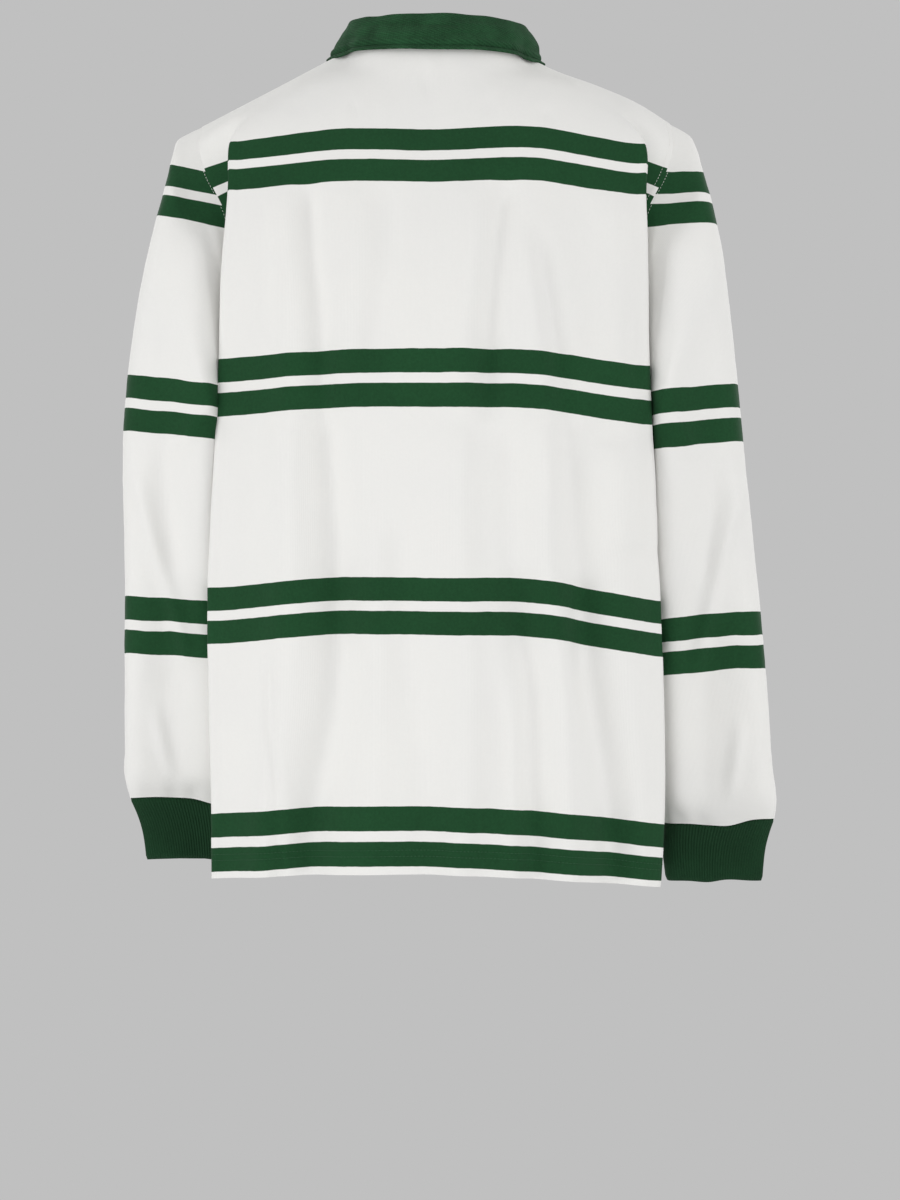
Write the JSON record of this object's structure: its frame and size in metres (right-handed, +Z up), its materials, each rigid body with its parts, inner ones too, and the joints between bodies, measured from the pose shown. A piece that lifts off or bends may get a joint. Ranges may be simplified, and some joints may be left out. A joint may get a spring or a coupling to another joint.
{
  "type": "long-sleeved polo shirt",
  "caption": "Long-sleeved striped polo shirt in its worn shape, empty, with a folded collar, closed placket and ribbed cuffs.",
  "frame": {"origin": "middle of the neck opening, just under the height of the neck's side points, where the shirt is held when it is worn", "axes": "+Z up, -Y out of the front, +X towards the wearer's left"},
  "size_m": [0.5775, 0.2572, 0.759],
  "materials": {
    "jersey": "heavy cotton jersey, ivory with dark green double stripes",
    "rib": "knitted rib, dark green",
    "collar_cloth": "brushed cotton twill, green",
    "button": "matt ivory plastic"
  },
  "bodies": {
    "root": {"back_panel": "jersey", "front_panel": "jersey", "sleeve_left": "jersey", "sleeve_right": "jersey", "cuff_left": "rib", "cuff_right": "rib", "collar": "collar_cloth", "placket": "jersey", "button_1": "button", "button_2": "button", "button_3": "button"}
  },
  "joints": []
}
